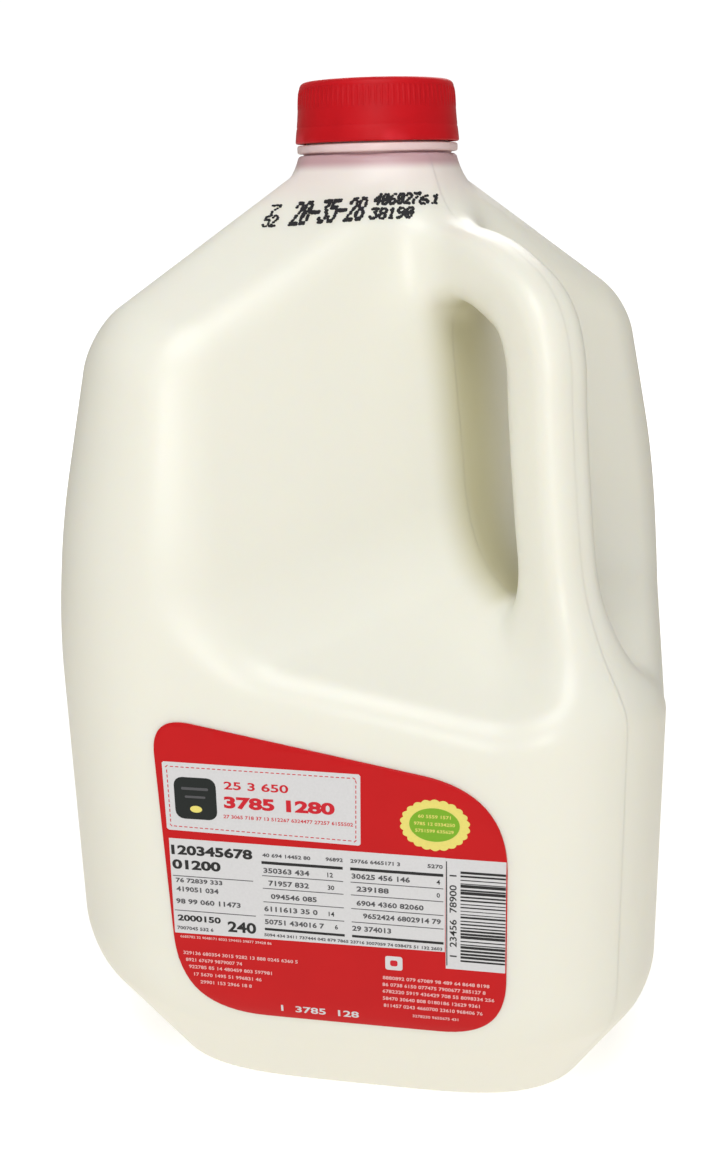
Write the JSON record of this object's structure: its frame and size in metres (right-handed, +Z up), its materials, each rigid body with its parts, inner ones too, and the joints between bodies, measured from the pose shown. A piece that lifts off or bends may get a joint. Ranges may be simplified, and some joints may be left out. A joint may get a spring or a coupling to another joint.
{
  "type": "plastic milk jug",
  "caption": "Square plastic milk jug with a sloped shoulder, side grip pockets, a corner handle, a snap cap and a sticker label.",
  "frame": {"origin": "centre of the base, on the surface it stands on", "axes": "+Z up to the cap, +X to the handle corner; Y = 0 is the mirror plane of the jug; the label is on the face towards +X and -Y"},
  "size_m": [0.1884, 0.1884, 0.2539],
  "materials": {
    "jug": "satin, milky",
    "cap": "satin",
    "label": "printed film"
  },
  "bodies": {
    "root": {"jug": "jug", "cap": "cap", "label": "label"}
  },
  "joints": []
}
